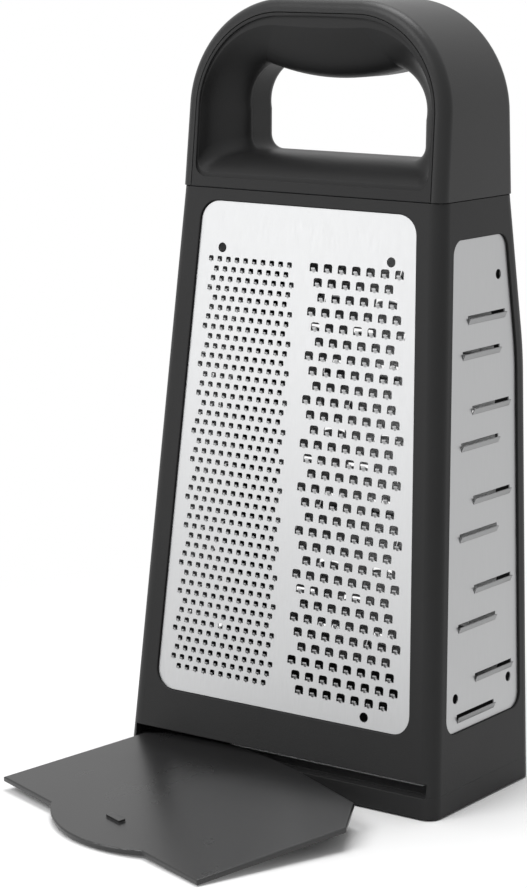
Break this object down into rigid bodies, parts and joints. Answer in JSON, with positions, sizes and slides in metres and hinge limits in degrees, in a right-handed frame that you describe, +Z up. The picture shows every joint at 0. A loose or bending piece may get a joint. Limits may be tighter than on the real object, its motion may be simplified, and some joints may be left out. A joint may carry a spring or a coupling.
{
  "type": "box grater",
  "caption": "Four-sided upright grater: steel blades in a tapered plastic frame with an arched hand grip, rubber feet and a loose flat cover that closes the bottom through a slot.",
  "frame": {"origin": "centre of the frame's footprint, on the table", "axes": "+X to the right along the front face, +Y to the back, +Z up; the face with the fine and coarse teeth looks towards -Y"},
  "size_m": [0.1629, 0.1942, 0.316],
  "materials": {
    "frame_plastic": "fine grain",
    "cover_plastic": "fine grain",
    "band_plastic": "soft sheen",
    "grip_plastic": "fine grain",
    "blade_steel": "fine satin",
    "screw_steel": "plain",
    "pad_rubber": "matte"
  },
  "bodies": {
    "grater": {"body_frame": "frame_plastic", "foot_ring": "frame_plastic", "front_blade": "blade_steel", "rear_blade": "blade_steel", "slicer_blade": "blade_steel", "ribbon_blade": "blade_steel", "handle_band": "band_plastic", "front_grip": "grip_plastic", "rear_grip": "grip_plastic", "foot_pad_1": "pad_rubber", "foot_pad_2": "pad_rubber", "foot_pad_3": "pad_rubber", "foot_pad_4": "pad_rubber", "handle_screws": "screw_steel", "foot_screws": "screw_steel"},
    "cover": {"bottom_cover": "cover_plastic"}
  },
  "joints": [
    {"name": "cover_swing", "type": "hinge", "parent": "grater", "child": "cover", "pos_m": [-0.2277, -0.02623, 0], "axis": [-0.2926, -0.0147, 0.9561], "range_deg": [0, 19.8]}
  ]
}
